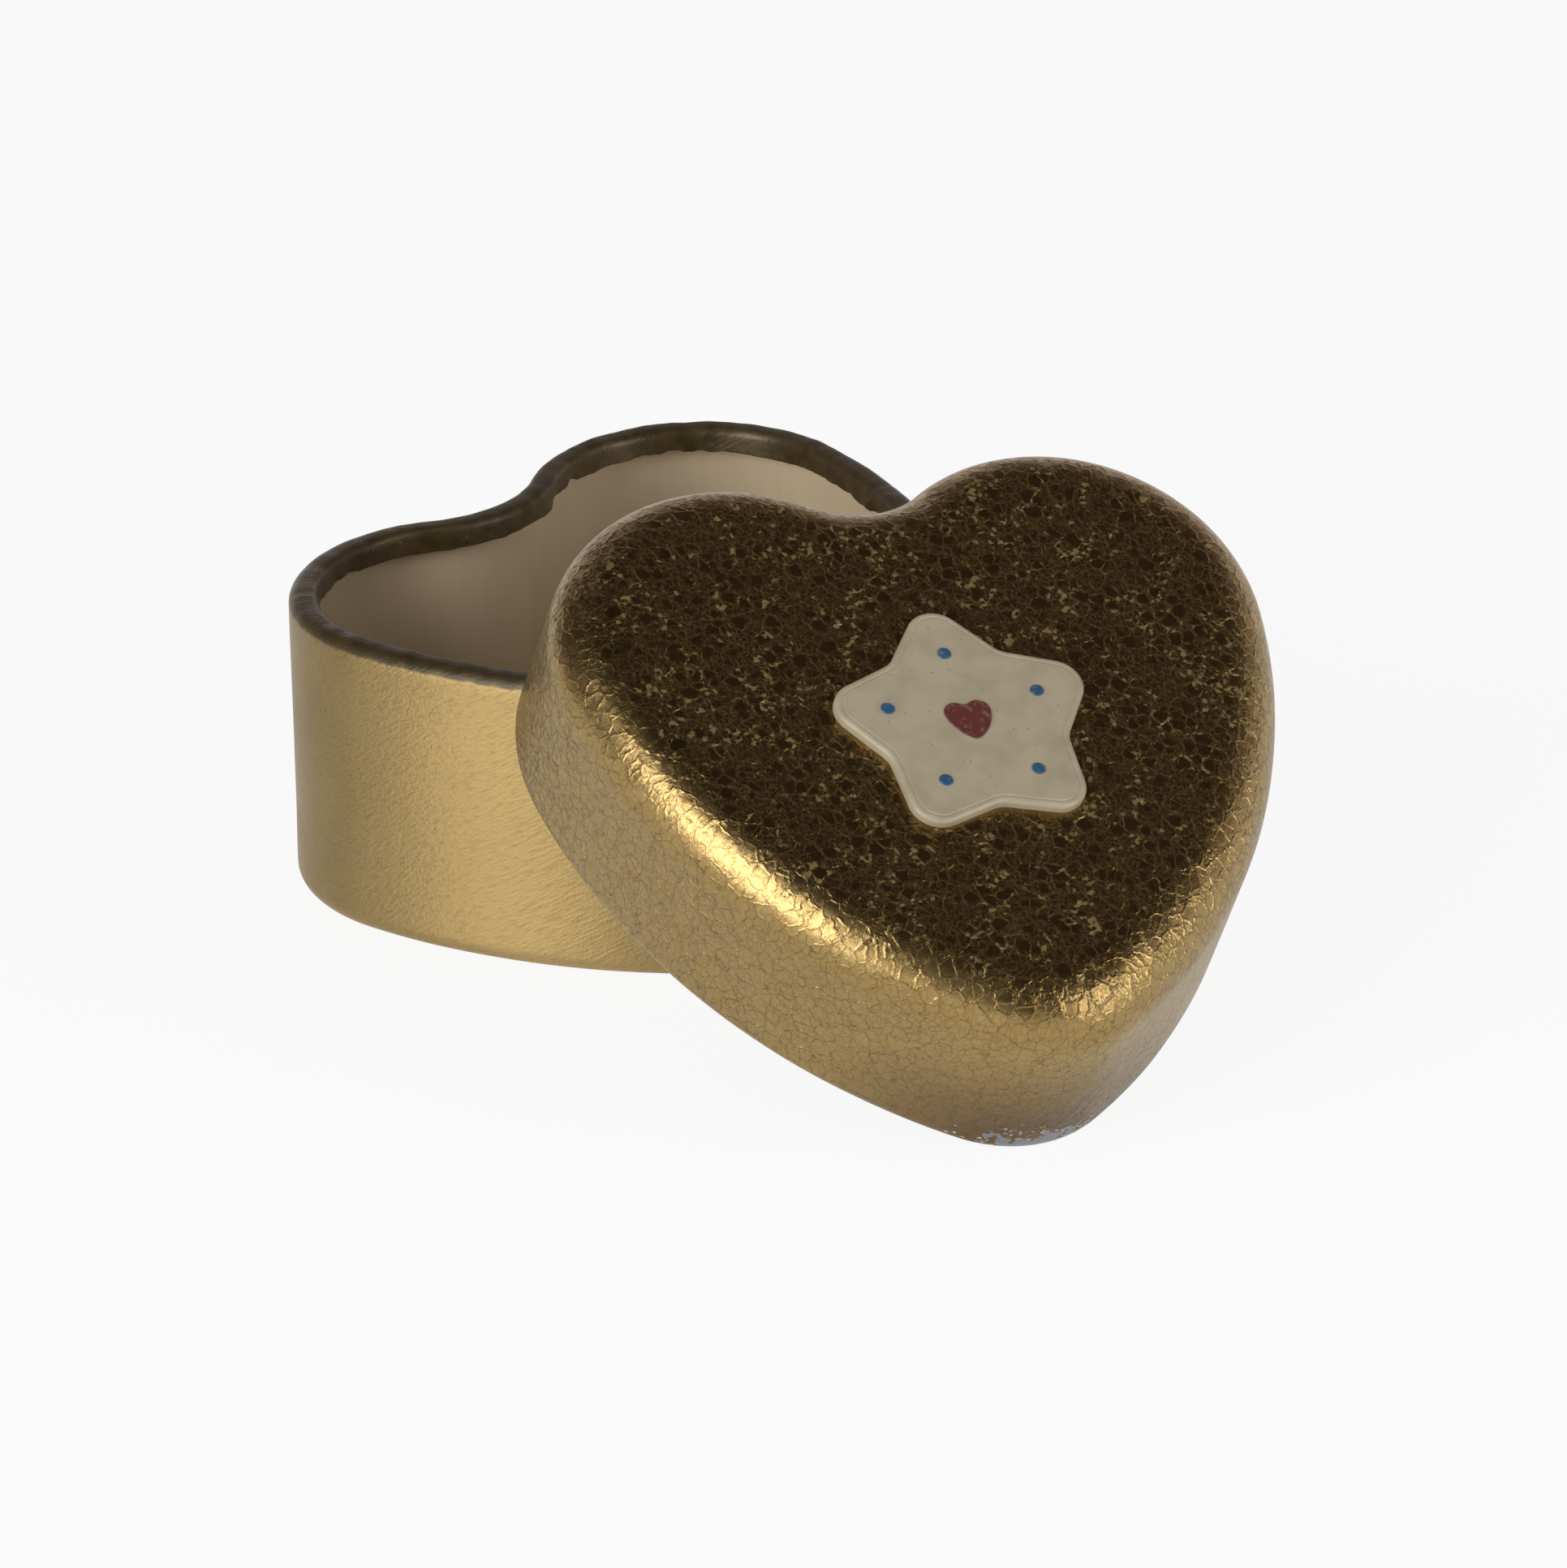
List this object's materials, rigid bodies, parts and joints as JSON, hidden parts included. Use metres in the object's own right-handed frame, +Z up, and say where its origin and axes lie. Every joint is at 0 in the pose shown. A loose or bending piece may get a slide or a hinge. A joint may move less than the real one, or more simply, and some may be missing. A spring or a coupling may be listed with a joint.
{
  "type": "baby tooth box",
  "caption": "Heart-shaped slip-lid keepsake tin for baby teeth, open, its crackled gold lid with a raised star plaque leaning on the rim",
  "frame": {"origin": "under the base, on its flat bottom, on its symmetry plane and on the line through the centres of the heart's two lobes", "axes": "+Z up, -Y towards the base's tip, X across the base's lobes; the lid lies beyond the tip at -Y"},
  "size_m": [0.0671, 0.0963, 0.0447],
  "materials": {
    "gold_lacquered_tinplate": "satin",
    "inside_lacquer": "satin",
    "tinplate": "satin",
    "crackled_gold_foil": "crackled",
    "cream_enamel": "satin",
    "red_enamel": "gloss",
    "blue_enamel": "gloss"
  },
  "bodies": {
    "base": {"base_shell": "gold_lacquered_tinplate", "base_lining": "inside_lacquer"},
    "lid": {"lid_shell": "tinplate", "lid_foil": "crackled_gold_foil", "lid_lining": "inside_lacquer", "lid_plaque": "cream_enamel", "plaque_heart": "red_enamel", "plaque_dot_1": "blue_enamel", "plaque_dot_2": "blue_enamel", "plaque_dot_3": "blue_enamel", "plaque_dot_4": "blue_enamel", "plaque_dot_5": "blue_enamel"}
  },
  "joints": [
    {"name": "lid_lift", "type": "slide", "parent": "base", "child": "lid", "axis": [0, 0, 1], "range_m": [0, 0.06]}
  ]
}
